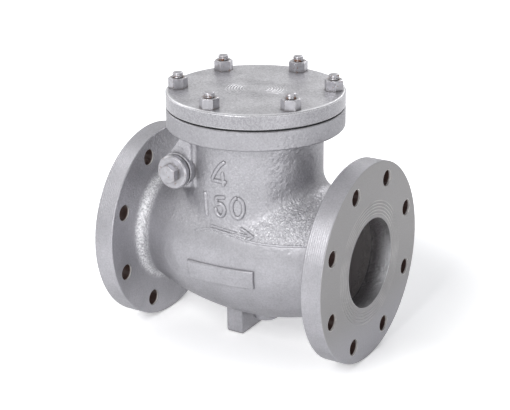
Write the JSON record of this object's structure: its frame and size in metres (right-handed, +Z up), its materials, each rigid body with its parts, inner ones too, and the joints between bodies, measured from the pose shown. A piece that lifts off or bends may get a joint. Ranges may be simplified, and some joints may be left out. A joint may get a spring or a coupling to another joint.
{
  "type": "swing check valve",
  "caption": "Flanged swing check valve: cast body with a bolted round cover, hinge pin plugs and a clapper that swings open with the flow.",
  "frame": {"origin": "midway between the two flange faces, in the upright plane through the pipe axis, on the surface that the valve stands on", "axes": "+X along the pipe axis in the flow direction, out of the outlet flange; +Z up to the cover; -Y to the front hinge pin plug"},
  "size_m": [0.292, 0.229, 0.3112],
  "materials": {
    "painted_casting": "satin",
    "fasteners": "satin",
    "machined_steel": "satin",
    "bare_casting": "matte",
    "gasket": "matte"
  },
  "bodies": {
    "valve_body": {"body": "painted_casting", "seat_ring": "machined_steel", "cover": "painted_casting", "cover_gasket": "gasket", "cover_stud_1": "fasteners", "cover_stud_2": "fasteners", "cover_stud_3": "fasteners", "cover_stud_4": "fasteners", "cover_stud_5": "fasteners", "cover_stud_6": "fasteners", "cover_nut_1": "fasteners", "cover_nut_2": "fasteners", "cover_nut_3": "fasteners", "cover_nut_4": "fasteners", "cover_nut_5": "fasteners", "cover_nut_6": "fasteners", "hinge_pin": "machined_steel", "front_plug": "fasteners", "rear_plug": "fasteners", "front_plug_gasket": "gasket", "rear_plug_gasket": "gasket"},
    "arm": {"hinge_arm": "bare_casting"},
    "clapper": {"disc": "machined_steel", "disc_washer": "machined_steel", "disc_nut": "machined_steel", "disc_split_pin": "machined_steel"}
  },
  "joints": [
    {"name": "arm_swing", "type": "hinge", "parent": "valve_body", "child": "arm", "pos_m": [-0.057, 0, 0.2105], "axis": [0, -1, 0], "range_deg": [0, 60]},
    {"name": "clapper_spin", "type": "hinge", "parent": "arm", "child": "clapper", "pos_m": [-0.036, 0, 0.1145], "axis": [1, 0, 0], "continuous": true}
  ]
}
